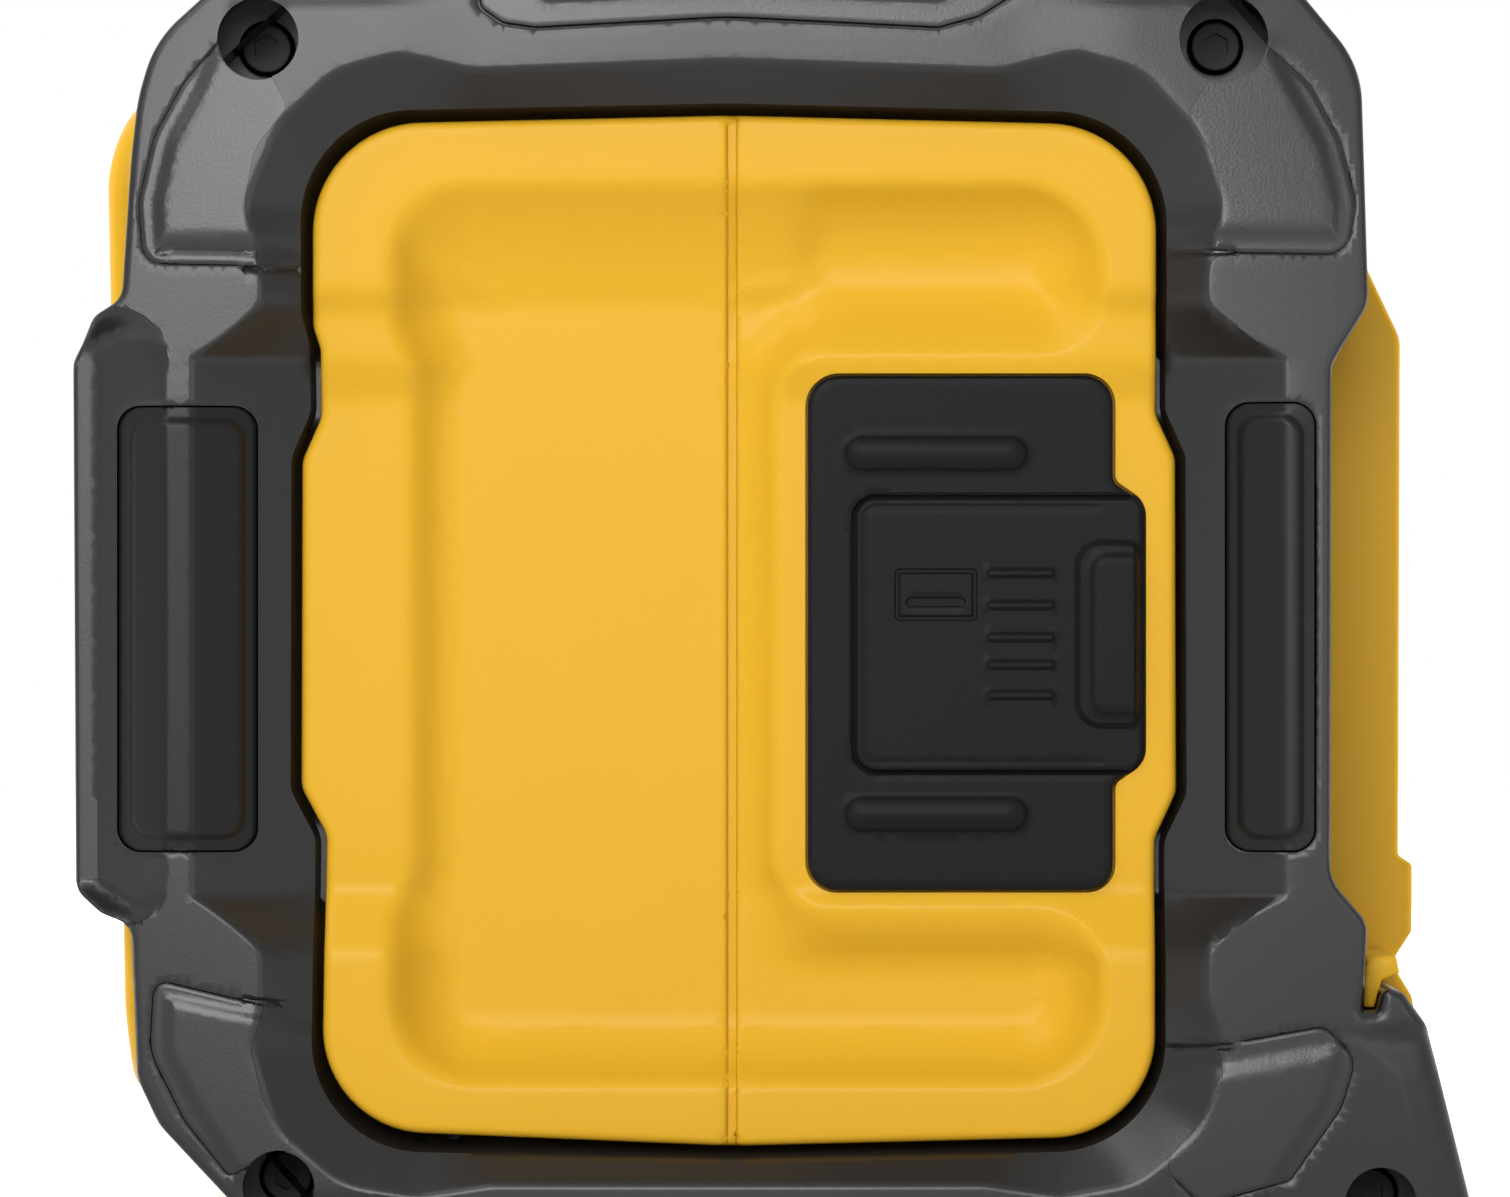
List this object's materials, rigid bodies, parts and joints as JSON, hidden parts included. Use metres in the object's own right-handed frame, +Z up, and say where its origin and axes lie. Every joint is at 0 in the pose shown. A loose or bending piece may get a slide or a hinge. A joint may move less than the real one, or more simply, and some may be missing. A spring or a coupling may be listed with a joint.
{
  "type": "jobsite bluetooth speaker",
  "caption": "Rugged portable speaker: clamshell case between end frames with bumpers, front grille, top control strip, rear battery dock, hinged rubber flaps over the end ports.",
  "frame": {"origin": "middle of the footprint on the ground", "axes": "+X along the length towards the end with the USB flap, -Y the grille side, +Y the battery side, +Z up"},
  "size_m": [0.262, 0.1482, 0.142],
  "materials": {
    "yellow_housing": "fine satin texture",
    "black_frame": "spark-eroded grain",
    "black_pad": "coarse grain",
    "cover_rubber": "matte",
    "steel_screw": "black oxide",
    "grille_steel": "powder coat",
    "speaker_cloth": "thin acoustic cloth",
    "plate_metal": "dark anodised, bare",
    "cone_paper": "coated",
    "surround_rubber": "matte",
    "magnet_steel": "zinc plated",
    "basket_steel": "black painted",
    "spider_cloth": "resin stiffened",
    "button_rubber": "matte",
    "lens_clear": "clear",
    "board_green": "solder mask",
    "socket_steel": "nickel plated",
    "contact_brass": "plated",
    "wire_jacket": "smooth"
  },
  "bodies": {
    "case": {"right_end_frame": "black_frame", "right_pad_front_top": "black_pad", "right_pad_rear_top": "black_pad", "right_pad_front_low": "black_pad", "right_pad_rear_low": "black_pad", "right_grip_front": "black_pad", "right_grip_rear": "black_pad", "right_top_pad": "black_pad", "left_end_frame": "black_frame", "left_pad_front_top": "black_pad", "left_pad_rear_top": "black_pad", "left_pad_front_low": "black_pad", "left_pad_rear_low": "black_pad", "left_grip_front": "black_pad", "left_grip_rear": "black_pad", "left_top_pad": "black_pad", "case_screws": "steel_screw", "feet": "black_pad", "front_housing": "yellow_housing", "rear_housing": "yellow_housing", "seam_gasket": "surround_rubber", "short_screws": "steel_screw", "grille": "grille_steel", "grille_cloth": "speaker_cloth", "name_plate": "plate_metal", "right_basket": "basket_steel", "right_magnet": "magnet_steel", "right_surround": "surround_rubber", "right_spider": "spider_cloth", "left_basket": "basket_steel", "left_magnet": "magnet_steel", "left_surround": "surround_rubber", "left_spider": "spider_cloth", "driver_screws": "steel_screw", "control_panel": "black_frame", "status_lens": "lens_clear", "control_board": "board_green", "main_board": "board_green", "usb_socket": "socket_steel", "usb_board": "board_green", "line_jack": "black_frame", "power_jack": "black_frame", "usb_panel": "cover_rubber", "jack_panel": "cover_rubber", "battery_dock": "black_frame", "battery_contacts": "contact_brass", "wiring": "wire_jacket"},
    "power_button": {"power_button": "button_rubber"},
    "pair_button": {"pair_button": "button_rubber"},
    "previous_button": {"previous_button": "button_rubber"},
    "play_button": {"play_button": "button_rubber"},
    "next_button": {"next_button": "button_rubber"},
    "volume_down_button": {"volume_down_button": "button_rubber"},
    "volume_up_button": {"volume_up_button": "button_rubber"},
    "usb_flap": {"usb_flap": "cover_rubber"},
    "jack_flap": {"jack_flap": "cover_rubber"},
    "right_cone": {"right_cone": "cone_paper", "right_dust_cap": "cone_paper"},
    "left_cone": {"left_cone": "cone_paper", "left_dust_cap": "cone_paper"}
  },
  "joints": [
    {"name": "power_press", "type": "slide", "parent": "case", "child": "power_button", "axis": [0, 0, -1], "range_m": [0, 0.0008], "stiffness_N_per_m": 1200, "springref_m": -0.0006},
    {"name": "pair_press", "type": "slide", "parent": "case", "child": "pair_button", "axis": [0, 0, -1], "range_m": [0, 0.0008], "stiffness_N_per_m": 1200, "springref_m": -0.0006},
    {"name": "previous_press", "type": "slide", "parent": "case", "child": "previous_button", "axis": [0, 0, -1], "range_m": [0, 0.0008], "stiffness_N_per_m": 1200, "springref_m": -0.0006},
    {"name": "play_press", "type": "slide", "parent": "case", "child": "play_button", "axis": [0, 0, -1], "range_m": [0, 0.0008], "stiffness_N_per_m": 1200, "springref_m": -0.0006},
    {"name": "next_press", "type": "slide", "parent": "case", "child": "next_button", "axis": [0, 0, -1], "range_m": [0, 0.0008], "stiffness_N_per_m": 1200, "springref_m": -0.0006},
    {"name": "volume_down_press", "type": "slide", "parent": "case", "child": "volume_down_button", "axis": [0, 0, -1], "range_m": [0, 0.0008], "stiffness_N_per_m": 1200, "springref_m": -0.0006},
    {"name": "volume_up_press", "type": "slide", "parent": "case", "child": "volume_up_button", "axis": [0, 0, -1], "range_m": [0, 0.0008], "stiffness_N_per_m": 1200, "springref_m": -0.0006},
    {"name": "usb_flap_hinge", "type": "hinge", "parent": "case", "child": "usb_flap", "pos_m": [0.1231, 0.0083, 0.0665], "axis": [0, 0, -1], "range_deg": [0, 110], "stiffness_Nm_per_rad": 0.004, "springref_deg": -5.73},
    {"name": "jack_flap_hinge", "type": "hinge", "parent": "case", "child": "jack_flap", "pos_m": [-0.1231, 0.0083, 0.0665], "axis": [0, 0, 1], "range_deg": [0, 110], "stiffness_Nm_per_rad": 0.004, "springref_deg": -5.73},
    {"name": "right_cone_stroke", "type": "slide", "parent": "case", "child": "right_cone", "axis": [0, -1, 0], "range_m": [-0.0015, 0.0015], "stiffness_N_per_m": 1500, "deforming": ["right_surround", "right_spider"]},
    {"name": "left_cone_stroke", "type": "slide", "parent": "case", "child": "left_cone", "axis": [0, -1, 0], "range_m": [-0.0015, 0.0015], "stiffness_N_per_m": 1500, "deforming": ["left_surround", "left_spider"]}
  ]
}
